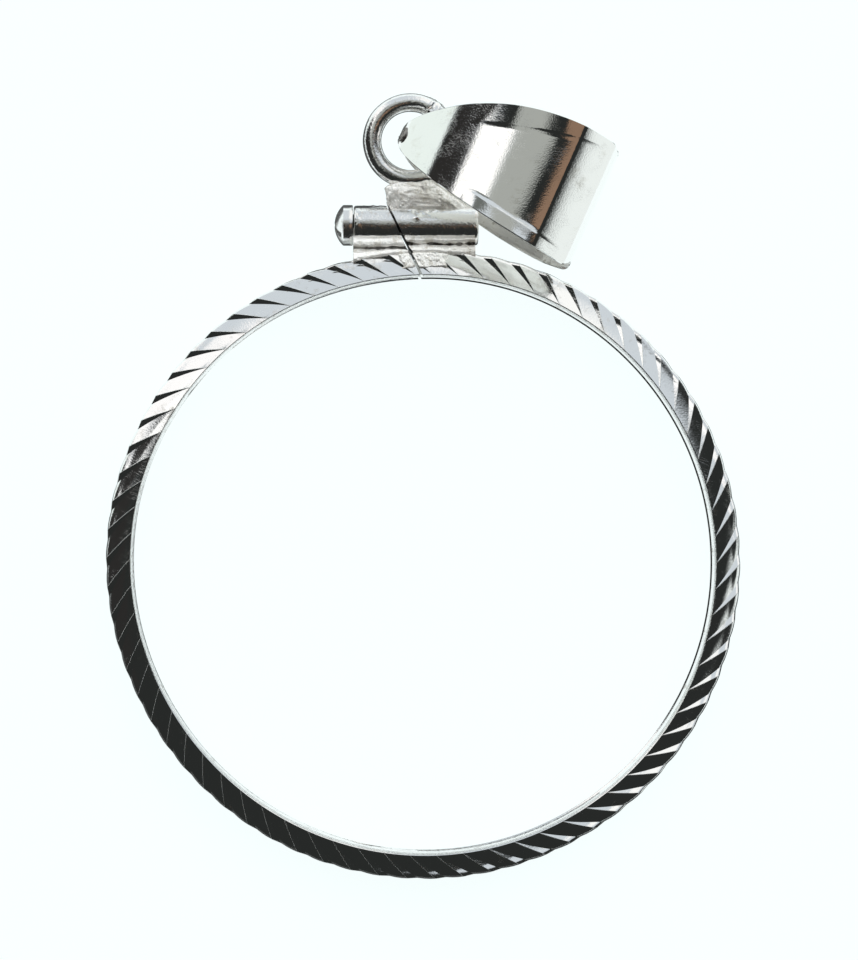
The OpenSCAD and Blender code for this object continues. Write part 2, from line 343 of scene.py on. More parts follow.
# Colours and roughness are given clean and stained, fine and coarse as size and depth; sizes in millimetres,
# depths in micrometres
looks = {
    "cutSilver": {
        "metal": 1, "clean": (0.93, 0.935, 0.93), "stained": (0.80, 0.79, 0.76), "rough": (0.1, 0.28),
        "stainSize": 0.4, "stainRange": (0.30, 0.46), "fine": (0.11, 3.5), "coarse": (0.7, 2.5),
        "scratchTurns": (20,), "scratchGap": 0.16, "scratchDepth": 1.2},
    "tubeSilver": {
        "metal": 1, "clean": (0.93, 0.93, 0.92), "stained": (0.72, 0.69, 0.64), "rough": (0.14, 0.36),
        "stainSize": 0.3, "stainRange": (0.30, 0.46), "fine": (0.13, 14.0), "coarse": (0.6, 8.0),
        "scratchTurns": (4,), "scratchGap": 0.14, "scratchDepth": 1.0},
    "solderSilver": {
        "metal": 0.32, "clean": (0.99, 0.975, 0.94), "stained": (0.67, 0.645, 0.59), "rough": (0.25, 0.5),
        "stainSize": 0.2, "stainRange": (0.28, 0.36), "fine": (0.15, 22.0), "coarse": (0.4, 12.0),
        "scratchTurns": (70,), "scratchGap": 0.3, "scratchDepth": 1.0},
    "satinSilver": {
        "metal": 0.5, "clean": (0.97, 0.96, 0.92), "stained": (0.62, 0.6, 0.54), "rough": (0.3, 0.5),
        "stainSize": 0.3, "stainRange": (0.28, 0.42), "fine": (0.1, 5.0), "coarse": (0.5, 5.0),
        "scratchTurns": (60,), "scratchGap": 0.11, "scratchDepth": 4.0},
    "wornSilver": {
        "metal": 0.8, "clean": (0.85, 0.87, 0.86), "stained": (0.6, 0.6, 0.58), "rough": (0.4, 0.6),
        "stainSize": 0.4, "stainRange": (0.28, 0.42), "fine": (0.08, 4.0), "coarse": (0.5, 4.0),
        "scratchTurns": (20,), "scratchGap": 0.2, "scratchDepth": 1.0},
    "screwSilver": {
        "metal": 1, "clean": (0.93, 0.93, 0.92), "stained": (0.74, 0.71, 0.66), "rough": (0.18, 0.34),
        "stainSize": 0.4, "stainRange": (0.24, 0.40), "fine": (0.13, 4.0), "coarse": (0.5, 6.0),
        "scratchTurns": (38, 80), "scratchGap": 0.14, "scratchDepth": 1.6},
    "bailSilver": {
        "metal": 1, "clean": (0.95, 0.95, 0.94), "stained": (0.88, 0.87, 0.84), "rough": (0.05, 0.18),
        "stainSize": 0.7, "stainRange": (0.32, 0.5), "fine": (0.1, 3.0), "coarse": (0.8, 2.0),
        "scratchTurns": (62, 8), "scratchGap": 0.13, "scratchDepth": 0.5},
    # Dark metal: painted shade on the saw cut's walls and on the shank inside the barrel; also the saddle's
    # dark seam and the dark solder at the bail's tip
    "shadeAndDarkSolder": {
        "metal": 1, "clean": (0.32, 0.31, 0.29), "stained": (0.1, 0.09, 0.08), "rough": (0.35, 0.6),
        "stainSize": 0.25, "stainRange": (0.22, 0.36), "fine": (0.1, 10.0), "coarse": (0.4, 10.0),
        "scratchTurns": (90,), "scratchGap": 0.2, "scratchDepth": 1.0},
}
silvers = {name: silver(name, look) for name, look in looks.items()}
print("looks made")

# Rim
rim = {
    "count": 70,
    "start": 92.2,        # angle of the first cut's tip, left of the saw cut
    "sawnAway": 1.9,      # degrees of the pattern that the saw took
    "drift": 1.05,        # how far the tips wander from even steps, in degrees
    "crestLean": 5.0,     # degrees from a line's tip to its end on the wall
    "valleyLean": 7.0,
    "depth": 0.95,        # unit of the depths below
    "bends": ((99, 23, -0.2), (171, 34, 0.25)),   # middle, width in degrees, offset
    # share of the way from the tip to the wall, and depth below the face
    "crest": ((0, 0), (0.32, 0.13), (0.64, 0.28), (0.96, 0.45), (1.00, 1.05)),
    "valley": ((0, 0), (0.31, 0.20), (0.62, 0.43), (0.93, 0.66), (0.975, 1.2)),
    "rows": 30,
    "flankSteps": (0, 0.12, 0.5, 0.88),
    "wideSteps": (0, 0.03, 0.34, 0.66, 0.965),
    "bulge": 0.04,        # how far the wide facets swell on the wall
    # front lip: its rounded edge, out from the opening and down from the face, then its inner side, out from
    # the opening and up from the groove
    "lipEdge": ((0.132, 0.006), (0.119, 0.014), (0.106, 0.028), (0.03, 0.112), (0.014, 0.133), (0.004, 0.158),
                (0, 0.19)),
    "lipInside": ((0.02, 0.17), (0.27, 0.01), (0.31, 0)),
    "grooveRound": 0.05,
    # back lip in the same way, with a third value: the share of the chamfer's drop that a point takes
    "backWider": 0.07,
    "backEdge": ((0.07, 0.006), (0.05, 0.012), (0.015, 0.045), (0, 0.08)),
    "backInside": ((0.005, 0.22, 1), (0.095, 0.22, 0), (0.265, 0, 0)),
    "chamferTurn": 20,    # where the chamfer is flattest; it drops by the first value there
    "chamferDrop": (0.05, 0.11),   # and by the second on the other side
    "sawReach": 40,       # columns beside the saw cut that it may clip
    "sharp": 14,          # edges above this angle stay sharp
}


def bent(r, degrees):
    # Radius r plus each bend's offset * exp(-(turn from its middle / its width) ** 2)
    total = r
    for middle, width, offset in rim["bends"]:
        turn = (degrees - middle + 180) % 360 - 180
        total = total + offset * np.exp(-(turn / width) ** 2)
    return total


def clipAtSaw(points, side):
    # Columns past the gap's wall move to where their row crosses it; side 1 keeps its right
    span = rim["sawReach"]
    part = points[:, :span] if side < 0 else points[:, ::-1][:, :span]
    over = side * (part @ sawNormal - sawOffset) - sawCut["width"] / 2
    first = np.argmax(over >= 0, axis=1)
    row = np.arange(len(part))
    a, b = over[row, first - 1], over[row, first]
    crossing = part[row, first - 1] + (a / (a - b))[:, None] * (part[row, first] - part[row, first - 1])
    past = np.arange(span)[None, :] < first[:, None]
    part[past] = np.repeat(crossing[:, None], span, 1)[past]


def cutLines(tip):
    # Crest and valley lines: radius from tipR to rimR by the table's share, angle tip + share * lean, and the
    # table's depth below the face
    lines = []
    for key, lean in (("crest", rim["crestLean"]), ("valley", rim["valleyLean"])):
        share = splineRows(rim[key], rim["rows"])
        a = tip[None, :] + share[:, :1] * lean
        r = bent(bezel["tipR"] + share[:, :1] * (bezel["rimR"] - bezel["tipR"]), a)
        lines.append(polar(r, a, bezel["faceZ"] - share[:, 1:] * rim["depth"]))
    return lines


def lipRings(angle):
    # Rings of the inner side: the front lip, the groove's front half down to its middle, and the back lip with
    # a chamfer whose drop goes from least to most as 0.5 - 0.5 cos of the turn
    lip, z, g = bezel["lipR"], bezel["faceZ"], bezel["grooveHalf"]
    front = [(across, z - down) for across, down in rim["lipEdge"]]
    front += [(across, g + up) for across, up in rim["lipInside"]]
    frontLip = [polar(bent(lip + across, angle), angle, h) for across, h in front]
    deep, corner = bezel["grooveR"], rim["grooveRound"]
    groove = [polar(r, angle, h) for r, h in ((deep - corner, g), (deep, g - corner), (deep, 0))]
    least, most = rim["chamferDrop"]
    drop = least + (most - least) * (0.5 - 0.5 * np.cos(np.radians(angle - rim["chamferTurn"])))
    back = [(across, z - down) for across, down in rim["backEdge"]]
    back += [(across, g + up + share * drop) for across, up, share in rim["backInside"]]
    backLip = [polar(bent(lip + rim["backWider"] + across, angle), angle, -h) for across, h in back]
    return frontLip, groove, backLip


def rimPoints():
    # Rows round the section, columns round the ring; a facet's columns are mixed in straight lines between a
    # crest and a valley line
    cut = np.arange(-2, rim["count"] + 2)
    pitch = (360 + rim["sawnAway"]) / rim["count"]
    tip = rim["start"] + cut * pitch - rim["drift"] * np.sin(np.pi * cut / rim["count"])
    crest, valley = cutLines(tip)
    flank = np.array(rim["flankSteps"])[None, None, :, None]
    wide = np.array(rim["wideSteps"])[None, None, :, None]
    steep = crest[:, :-1, None] * (1 - flank) + valley[:, :-1, None] * flank
    broad = valley[:, :-1, None] * (1 - wide) + crest[:, 1:, None] * wide
    # The wide facets swell by bulge * 4 w (1 - w) * share ** 5
    outward = broad[..., :2] / np.linalg.norm(broad[..., :2], axis=-1, keepdims=True)
    share = splineRows(rim["crest"], rim["rows"])[:, 0]
    swell = rim["bulge"] * 4 * wide * (1 - wide) * (share ** 5)[:, None, None, None]
    broad[..., :2] += swell * outward
    front = np.concatenate([steep, broad], 2).reshape(rim["rows"], -1, 3)
    tipStep = np.concatenate([0 * flank, wide], 2)
    tipAngle = (tip[:-1, None] + tipStep[0, 0, :, 0][None] * pitch).reshape(-1)
    front[0] = polar(bent(bezel["tipR"], tipAngle), tipAngle, bezel["faceZ"])
    flip = np.array([1, 1, -1])
    back = front[::-1] * flip
    # Over the front and the back, then inside from the back lip's edge through the groove to the front lip's
    frontLip, groove, backLip = lipRings(tipAngle)
    lowerGroove = [ring * flip for ring in groove[:2]]
    around = np.stack(list(front) + list(back) + backLip + lowerGroove + groove[::-1] + frontLip[::-1])
    clipAtSaw(around, -1)
    clipAtSaw(around, 1)
    return around


points = rimPoints()
rows, cols = points.shape[:2]
ends = [[r * cols for r in range(rows)], [r * cols + cols - 1 for r in range(rows)][::-1]]
faces = gridFaces(rows, cols, closeRows=True) + ends
# The thin strip beside each crest is worn dull
steps = len(rim["flankSteps"]) + len(rim["wideSteps"])
worn = np.zeros((rows, cols - 1), bool)
worn[:2 * rim["rows"], steps - 1::steps] = True
worn = np.append(worn.ravel(), [False, False])
makePiece("rim", points, faces, silvers["cutSilver"], "frame", "bezel_frame",
          sharp=rim["sharp"], second=(silvers["wornSilver"], worn))
print("rim made")

# Solder run over the cuts beside the saw cut
run = {
    "ends": (-1.95, 2.15),      # x where the left and the right run end
    "inner": 18.32,             # from this radius to the next
    "outer": 19.5,
    "fall": 0.44,               # of the top, from the lip to the wall
    "lift": 0.03,
    "edge": 0.3,                # how far its edges sink below the cuts
    "floor": 0.9,
    "wave": 0.25,               # how far its outline wanders, how much of that at the lip, and in what cells
    "lipWave": 0.3,
    "waveCell": 0.5,
    "endFade": (1.0, 0.55),     # outer and inner share between which an edge sinks
    "lipFade": (0, 0.2),
    "wallFade": (1.0, 0.85),
    "roughness": 0.05,
    "cell": 0.2,
    "cols": 110,
    "rows": 50,
}


def runPoints(side):
    # Top: falls from the lip to the wall like the cuts' mean height, plus lift and crust, sinking below them
    # at the edges by edge * (1 - window); the bottom is flat
    u = np.linspace(0, 1, run["cols"])[:, None]
    v = np.linspace(0, 1, run["rows"])[None]
    y = run["inner"] + (run["outer"] - run["inner"]) * v
    end = run["ends"][0 if side < 0 else 1]
    x = sawX(y, side) * (1 - u) + end * u
    y = np.sqrt(y ** 2 - x ** 2)
    x = sawX(y, side) * (1 - u) + end * u
    fall = run["fall"] * (np.hypot(x, y) - bezel["tipR"]) / (bezel["rimR"] - bezel["tipR"])
    points = np.stack([x, y, bezel["faceZ"] - fall], -1)
    wave = run["wave"] * noise(points, run["waveCell"], shift=3.0 + side)
    window = smoothStep(*run["endFade"], u + wave)
    window = window * smoothStep(*run["lipFade"], v + run["lipWave"] * wave) * smoothStep(*run["wallFade"], v)
    rough = run["roughness"] * crust(points, run["cell"], shift=4.0)
    points[..., 2] += run["lift"] + rough - run["edge"] * (1 - window)
    points[..., 2] = np.minimum(points[..., 2], bezel["faceZ"])
    bottom = points * np.array([1, 1, 0]) + np.array([0, 0, run["floor"]])
    return np.concatenate([points, bottom[:, ::-1]], 1)


for side, name in ((-1, "runLeft"), (1, "runRight")):
    points = runPoints(side)
    faces = tubeFaces(points)
    # The saw cut's walls get the dark metal: painted shade in the gap
    makePiece(name, points, faces, silvers["solderSilver"], "frame",
              second=(silvers["shadeAndDarkSolder"], onSawCut(faceMiddles(points, faces))))
print("solder runs made")

# Barrel
barrel = {
    "steps": 180,               # points round the tube
    "rings": 60,                # rings along each half, over this share of it
    "ringSpan": (0.05, 0.97),
    "bevel": 0.14,              # at the plumb ends
    "bevelTurns": (30, 60, 90),
    "boreBevel": 0.04,
    "edge": 0.02,               # at the saw cut
    "skin": 0.025,              # depth below the outside that is dented and splashed
    "dent": 0.008,
    "dentCell": 0.9,
    # solder splashed on the tube: x, turn from the top in degrees, spread of each, height
    "splashes": ((-0.75, 38, 0.35, 16, 0.07), (0.3, 30, 0.5, 14, 0.06), (-3.2, 12, 1.0, 8, 0.04),
                 (-0.5, 71, 0.22, 7, 0.09), (-0.1, 52, 0.6, 12, 0.05),
                 (1.9, 14, 0.9, 9, 0.045), (-4.3, 60, 0.2, 40, 0.03)),
    "splashCell": 0.22,
}


def barrelHalf(side):
    # Rings round the barrel's axis: out along the bore, back along the outside, ends cut plumb and along the
    # saw cut; dents and splashes push the outside out by noise and by height * bell of x * bell of the turn
    outer = bezel["barrelEnds"][0 if side < 0 else 1]
    r, bore, bevel, edge = bezel["barrelR"], bezel["boreR"], barrel["bevel"], barrel["edge"]
    # Each ring: share of the way from the plumb end to the saw cut, extra length, radius
    rings = [(0, 0, bore + barrel["boreBevel"]), (0, 0, r - bevel)]
    rings += [(0, bevel * (1 - math.cos(a)), r - bevel + bevel * math.sin(a))
              for a in np.radians(barrel["bevelTurns"])]
    rings += [(k, 0, r) for k in np.linspace(*barrel["ringSpan"], barrel["rings"])]
    rings += [(1, -edge, r), (1, -edge * 0.3, r - edge * 0.3), (1, 0, r - edge)]
    rings += [(1, 0, bore + edge), (1, -edge, bore), (0, barrel["boreBevel"], bore)]
    share, extra, radius = np.array(rings).T[:, :, None]
    a = circleSteps(barrel["steps"])[None]
    y = bezel["barrelY"] + radius * np.cos(a)
    z = radius * np.sin(a)
    x = outer * (1 - share) + sawX(y, side) * share - side * extra * np.where(share < 0.5, 1, -1)
    points = np.stack([x, y, z], -1)
    swell = barrel["dent"] * noise(points, barrel["dentCell"], shift=4.0)
    for atX, turn, spreadX, spreadTurn, height in barrel["splashes"]:
        near = np.exp(-((x - atX) / spreadX) ** 2 - ((np.degrees(a) - turn) / spreadTurn) ** 2)
        swell = swell + height * near * (0.5 + crust(points, barrel["splashCell"], shift=7.0))
    swell = swell * (radius > r - barrel["skin"])
    away = np.stack([0 * y + 0 * a, np.cos(a) + 0 * y, np.sin(a) + 0 * y], -1)
    return points + swell[..., None] * away


for side, name in ((-1, "barrelLeft"), (1, "barrelRight")):
    points = barrelHalf(side)
    faces = gridFaces(*points.shape[:2], closeRows=True, closeCols=True)
    # The saw cut's walls get the dark metal: painted shade in the gap
    makePiece(name, points, faces, silvers["tubeSilver"], "frame",
              second=(silvers["shadeAndDarkSolder"], onSawCut(faceMiddles(points, faces))))
print("barrel made")

# Saddle: solder and plate between barrel and rim
saddle = {
    "ends": (-4.53, 3.1),       # x of the plumb ends
    "stations": 220,
    # front profile of the left (-1) and the right half (1), from the top down: y, z
    "profiles": {
        -1: ((20.95, 0.95), (20.6, 0.86), (20.42, 0.88), (20.28, 1.03), (20.12, 1.15), (19.95, 1.17),
             (19.82, 1.1), (19.72, 0.95), (19.6, 1.0), (19.48, 1.2), (19.3, 1.3), (19.12, 1.25)),
        1: ((20.95, 0.95), (20.6, 0.86), (20.46, 0.88), (20.34, 1.03), (20.24, 1.13), (20.12, 1.08),
            (19.98, 0.9), (19.84, 1.0), (19.72, 1.15), (19.55, 1.22), (19.38, 1.27), (19.16, 1.2))},
    "profileRows": 84,
    "underR": 19.42,            # arc that the lowest rows follow, and the row that lies on it
    "underRow": 19.2,
    "straightRow": 19.9,        # rows above this one stay straight
    "roughness": 0.035,
    "cell": 0.22,
    "grainAlong": 0.55,         # the crust is drawn out along the clamp by this factor
    "wave": 0.05,               # how far its lines wander, and in what cells
    "waveCell": 0.8,
    "smoothRows": (20.7, 20.45),   # crust fades out between these rows, towards the barrel
    "stillRow": 19.3,
    "seams": {-1: 19.72, 1: 19.98},   # dark seam's height on each half
    "seamHalf": 0.065,
    "seamRagged": 0.9,
    "seamCell": 0.3,
}


def saddleWave(points, side):
    # How far a line wanders up or down at this x: wave * noise
    return saddle["wave"] * noise(points * np.array([1, 0, 0]) + 2.0, saddle["waveCell"], shift=side)


def saddleHalf(side):
    # Sections across the clamp: front profile, then the same shape behind, carried from the plumb end to the
    # saw cut, with crust on the front and back
    outer = saddle["ends"][0 if side < 0 else 1]
    profile = splineRows(saddle["profiles"][side], saddle["profileRows"])
    section = np.vstack([profile, profile[::-1] * np.array([1, -1])])
    y, z = section[:, 0][None], section[:, 1][None]
    u = np.linspace(0, 1, saddle["stations"])[:, None]
    x = outer * (1 - u) + sawX(y, side) * u
    # The lower rows follow the rim's curve, so that they never reach into the coin's groove
    under, straight = saddle["underRow"], saddle["straightRow"]
    low = np.sqrt(saddle["underR"] ** 2 - x ** 2)
    y = np.where(y < straight, y + (low - under) * smoothStep(straight, under, y), y + 0 * x)
    points = np.stack([x + 0 * y, y, z + 0 * x], -1)
    drawn = points * np.array([saddle["grainAlong"], 1, 1])
    rough = saddle["roughness"] * crust(drawn, saddle["cell"], shift=9.0 * side)
    wave = saddleWave(points, side)
    hold = smoothStep(*saddle["smoothRows"], y)
    points[..., 2] += np.sign(z) * rough * hold
    points[..., 1] += wave * hold * (y > saddle["stillRow"])
    return points


for side, name in ((-1, "saddleLeft"), (1, "saddleRight")):
    points = saddleHalf(side)
    faces = tubeFaces(points)
    middles = faceMiddles(points, faces)
    # The seam's height and width wander along the clamp
    off = np.abs(middles[:, 1] - saddle["seams"][side] - saddleWave(middles, side))
    ragged = saddle["seamRagged"] * noise(middles * np.array([1, 0, 0]), saddle["seamCell"], shift=5.0)
    seam = off < saddle["seamHalf"] * (1 + ragged)
    # The seam and the saw cut's walls get the dark metal; on the saw cut's walls it is painted shade in the
    # gap
    makePiece(name, points, faces, silvers["solderSilver"], "frame",
              second=(silvers["shadeAndDarkSolder"], seam | onSawCut(middles)))
print("saddle made")

# Seat: solder lump that carries the loop
seat = {
    # height y, left edge, right edge, half thickness
    "levels": ((21.6, -2.0, 2.7, 0.5), (22.1, -2.26, 2.8, 0.75), (22.5, -2.38, 2.5, 0.82),
               (22.9, -2.46, 1.9, 0.84), (23.3, -2.5, 1.3, 0.78), (23.6, -2.5, 0.9, 0.68),
               (23.85, -1.95, 0.55, 0.55), (24.1, -1.3, 0.3, 0.35)),
    "rows": 90,
    "steps": 260,
    "sideRound": 0.45,          # below 1 the sections' sides are fuller than an ellipse's
    "topRound": 0.65,
    "rimFade": 0.5,             # how the crust dies out towards the sections' sides
    "roughness": 0.05,
    "cell": 0.26,
    "wander": (0.06, 0.05),     # crust across and up, and its cell
    "wanderCell": 0.3,
    # lumps: x, y, radius, height
    "lumps": ((0.1, 23.75, 0.32, 0.22), (-0.9, 23.2, 0.5, 0.1), (1.2, 22.7, 0.45, 0.1),
              (-1.9, 23.35, 0.35, 0.12)),
}


def seatPoints():
    # Stacked rounded sections with c and s once round: x = middle + half width * |c| ** sideRound and
    # z = thickness * |s| ** topRound, each with its sign; crust and round lumps are added
    y, left, right, thick = splineRows(seat["levels"], seat["rows"]).T[:, :, None]
    a = circleSteps(seat["steps"])[None]
    c, s = np.cos(a), np.sin(a)
    x = (left + right) / 2 + (right - left) / 2 * np.sign(c) * np.abs(c) ** seat["sideRound"]
    z = thick * np.sign(s) * np.abs(s) ** seat["topRound"]
    points = np.stack([x, y + 0 * x, z], -1)
    raised = seat["roughness"] * crust(points, seat["cell"], shift=2.0)
    for atX, atY, radius, height in seat["lumps"]:
        raised = raised + height * np.exp(-((x - atX) ** 2 + (y - atY) ** 2) / radius ** 2)
    across, upward = seat["wander"]
    points[..., 2] += np.sign(z) * raised * np.abs(s) ** seat["rimFade"]
    points[..., 0] += across * crust(points, seat["wanderCell"], shift=5.0) * np.abs(c)
    points[..., 1] += upward * crust(points, seat["wanderCell"], shift=8.0)
    return points


points = seatPoints()
makePiece("seat", points, tubeFaces(points), silvers["solderSilver"], "frame")

# Loop
wire = {
    "steps": 240,
    "round": 48,
    "joint": 55,            # angle of the soldered joint on the ring, and its spread in degrees
    "jointSpread": 9,
    "jointHeight": 0.07,
    "jointCell": 0.25,
    "dent": 0.01,
    "dentCell": 0.8,
}


def loopPoints():
    # A ring of radius loopR that carries a circle of radius wireR, swollen by crust in a bell round its joint
    # and by small dents
    a = np.linspace(0, 360, wire["steps"], endpoint=False)[:, None]
    b = circleSteps(wire["round"])[None]
    away = polar(1.0, a + 0 * b, 0.0)
    place = away * (bezel["loopR"] + bezel["wireR"] * np.cos(b))[..., None]
    place[..., 2] = bezel["wireR"] * np.sin(b)
    turn = (a - wire["joint"] + 180) % 360 - 180
    bell = np.exp(-(turn / wire["jointSpread"]) ** 2)
    lump = bell * (0.5 + crust(place, wire["jointCell"], shift=1.0)) * wire["jointHeight"]
    out = away * np.cos(b)[..., None] + np.array([0, 0, 1]) * np.sin(b)[..., None]
    place += (lump + wire["dent"] * noise(place, wire["dentCell"], shift=6.0))[..., None] * out
    place[..., :2] += np.array(bezel["loopAt"])
    return place


points = loopPoints()
makePiece("loop", points, gridFaces(*points.shape[:2], closeRows=True, closeCols=True), silvers["tubeSilver"],
          "frame")
print("seat and loop made")

# Clamp screw
screw = {
    "headR": 1.275,
    "headBack": -4.56,          # x of the head's back
    "headL": 0.6,
    "dome": 0.55,
    "slotW": 0.36,
    "slotDepth": 0.42,
    "slotTurn": 38,
    "slotLines": (-0.98, -0.8, -0.4, 0, 0.4, 0.8, 0.98),   # grid lines in the slot, in halves of its width
    "sideLines": 16,            # grid lines on each side of the slot
    "crossLines": 33,           # grid lines across it
    "frontRows": ((0.03, 0), (0.3, 0)),                     # rings behind the head's front, in from its edge
    "backRows": ((-0.06, 0), (-0.015, 0.02), (0, 0.06)),    # from its back, in from its edge
    "neckRows": ((0, 0.8), (0, 0.7), (0.2, 0.65)),          # from the head's back, radius
    "tipRows": ((-0.08, 0.55), (0, 0.45), (0, 0)),          # from the shank's end, radius
    "shankR": 0.7,
    "shankEnd": 2.8,
    "pitch": 0.3,
    "threadDepth": 0.09,
    "threadRings": 8,           # rings for each turn of the thread
    "threadGap": (0.3, 0.15),   # plain stretch at the head and at the shank's end
    "shadeFrom": 0.1,            # behind the head the shank is painted dark: painted shade inside the barrel
}


def headGrid():
    # Grid across (w) and along (t) the slot: a sphere's cap, cut down to the slot's floor between its sides
    r, half = screw["headR"], screw["slotW"] / 2
    side = r * np.sin(np.linspace(math.asin(half / r), np.pi / 2, screw["sideLines"]))
    slot = half * np.array(screw["slotLines"])
    across = np.concatenate([-side[::-1], slot, side])
    inSlot = np.concatenate([0 * side, np.ones(len(slot)), 0 * side])[:, None] > 0
    along = np.sin(np.linspace(-np.pi / 2, np.pi / 2, screw["crossLines"]))
    w = across[:, None] + 0 * along[None]
    t = along[None] * np.sqrt(np.maximum(r ** 2 - across ** 2, 0))[:, None]
    sphere = (r ** 2 + screw["dome"] ** 2) / (2 * screw["dome"])
    rise = np.sqrt(sphere ** 2 - w ** 2 - t ** 2) - (sphere - screw["dome"])
    rise = np.where(inSlot, np.minimum(rise, screw["dome"] - screw["slotDepth"]), rise)
    return np.stack([screw["headBack"] - screw["headL"] - rise, w, t], -1)


def shankRings(grid):
    # Rings carried back from the grid's edge; on the thread the radius is
    # shankR - threadDepth * (1 - |2 p - 1|), with p the phase of the helix
    r, back, shankEnd = screw["headR"], screw["headBack"], screw["shankEnd"]
    edge = np.concatenate([grid[:-1, -1], grid[::-1, 0][:-1]])[:, 1:]   # once round the head
    turns = np.arctan2(edge[:, 1], edge[:, 0])
    unit = np.stack([np.cos(turns), np.sin(turns)], -1)
    plainNeck, plainTip = screw["threadGap"]
    threaded = np.arange(back + plainNeck, shankEnd - plainTip, screw["pitch"] / screw["threadRings"])
    rings = [(back - screw["headL"] + at, r - inset) for at, inset in screw["frontRows"]]
    rings += [(back + at, r - inset) for at, inset in screw["backRows"]]
    rings += [(back + at, radius) for at, radius in screw["neckRows"]]
    rings += [(at, -1.0) for at in threaded]
    rings += [(shankEnd + at, radius) for at, radius in screw["tipRows"]]
    place, radius = np.array(rings).T[:, :, None]
    phase = (place / screw["pitch"] + turns[None] / (2 * np.pi)) % 1
    thread = screw["shankR"] - screw["threadDepth"] * (1 - np.abs(2 * phase - 1))
    radius = np.where(radius < 0, thread, radius)
    return np.concatenate([place[..., None] + 0 * unit[None, :, :1], radius[..., None] * unit[None]], -1)


grid = headGrid()
rings = shankRings(grid)
points = np.concatenate([grid.reshape(-1, 3), rings.reshape(-1, 3)])
y, z = turnedBy(screw["slotTurn"], points[:, 1], points[:, 2])
points = np.stack([points[:, 0], bezel["barrelY"] + y, z], -1)
gridRows, gridCols = grid.shape[:2]
ringCount, ringSteps = rings.shape[:2]
start = gridRows * gridCols
edgeIds = [i * gridCols + gridCols - 1 for i in range(gridRows - 1)]
edgeIds += [i * gridCols for i in range(gridRows - 1, 0, -1)]
first = [[edgeIds[i], edgeIds[(i + 1) % ringSteps], start + (i + 1) % ringSteps, start + i]
         for i in range(ringSteps)]
faces = gridFaces(gridRows, gridCols) + first + gridFaces(ringCount, ringSteps, closeCols=True, start=start)
# The shank inside the barrel gets the dark metal: painted shade in the bore
inBarrel = faceMiddles(points, faces)[:, 0] > screw["headBack"] + screw["shadeFrom"]
makePiece("clampScrew", points, faces, silvers["screwSilver"], "screw", "clamp_screw",
          second=(silvers["shadeAndDarkSolder"], inBarrel))
print("screw made")

# Bail
bail = {
    "tip": (-1.4, 27.22),
    "length": 13.2,
    "depth": 6.6,
    "sheet": 0.34,
    "yaw": -24,                 # turn in the bezel's plane
    "pitch": 12.4,              # rise of its axis from the table
    "halfW": 4.1,               # half width at the round end and at the tip
    "tipHalfW": 0.6,
    "widen": 0.75,
    "tipRound": 0.5,            # share of the width that the tip's rounding takes, and its length
    "tipRoundL": 0.25,
    "neckShift": -0.4,          # sideways offset at the tip, bow in the middle, lean with the leg's height
    "bow": 0.22,
    "lean": 0.04,
    "stations": 320,            # round the fold
    "legSteps": 1551,
    "middleLines": 21,          # across, between the bands
    # way along a leg from the tip, and its slope off the bail's axis in degrees
    "side": ((0, 90), (0.75, 62), (1.1, 34), (1.8, 30.5), (3.9, 29.5), (4.5, 25), (6.1, 12.5), (8.3, 0.5),
             (10.5, -10.5), (11.3, -16), (12.1, -22.5), (12.2, -42), (12.8, -45.5), (13.9, -48),
             (14.7, -54), (15.5, -90)),
    # edge bands: length along the bail, width of the lower and the upper band, rise per width of each
    "bands": ((0, 0.1, 0.1, 0, 0), (3.0, 0.3, 0.3, 0, 0), (4.6, 0.6, 1.3, 0, 0.0), (5.8, 0.8, 1.42, 0, 0.05),
              (6.8, 0.88, 1.42, 0.09, 0.09), (8.0, 0.9, 1.36, 0.1, 0.09), (10.0, 0.87, 1.1, 0.1, 0.085),
              (12.5, 0.75, 0.65, 0.01, 0.0), (13.2, 0.5, 0.5, 0.0, 0.0)),
    "bandSteps": (0, 0.06, 0.3, 0.6, 0.85, 0.94, 1.0),   # lines across a band, from its edge inwards
    "crease": 0.02,             # step along the bands' inner lines, where they rise by creaseLift or more
    "creaseLift": 0.08,
    "cornerR": 0.45,            # rounding of the two corners at the round end
    "edge": 0.05,               # rounding of the sheet's edges
}


def bailLeg():
    # Outer line of a leg: way, slope, along and out, the last two by adding up steps of its cos and sin
    length = bail["side"][-1][0]
    way = np.linspace(0, length, bail["legSteps"])
    slope = np.radians(np.interp(way, *np.array(bail["side"]).T))
    step = length / (len(way) - 1)
    middle = (slope[1:] + slope[:-1]) / 2
    along = np.concatenate([[0], np.cumsum(step * np.cos(middle))])
    out = np.concatenate([[0], np.cumsum(step * np.sin(middle))])
    return way, slope, along * bail["length"] / along[-1], out * bail["depth"] / 2 / out.max()


def bailLines():
    # Outer and inner line of the folded strip as (along, out), and the direction away from its outer face: a
    # leg and its mirror image, the inner line set in by the sheet where it lies on the leg's side of the axis
    way, slope, along, out = bailLeg()
    t = circleSteps(bail["stations"])
    share = (1 - np.cos(t)) / 2
    leg = np.sign(np.sin(t)) * (np.abs(np.sin(t)) > 1e-9)
    at = way[-1] * share
    outer = np.stack([np.interp(at, way, along), leg * np.interp(at, way, out)], -1)
    angle = np.interp(at, way, slope)
    away = np.stack([-np.sin(angle), np.where(leg < 0, -1, 1) * np.cos(angle)], -1)
    inAlong, inOut = along + bail["sheet"] * np.sin(slope), out - bail["sheet"] * np.cos(slope)
    keep = inOut > 0
    way, inAlong, inOut = way[keep], inAlong[keep], inOut[keep]
    at = way[0] + (way[-1] - way[0]) * share
    inner = np.stack([np.interp(at, way, inAlong), leg * np.interp(at, way, inOut)], -1)
    return outer, inner, away


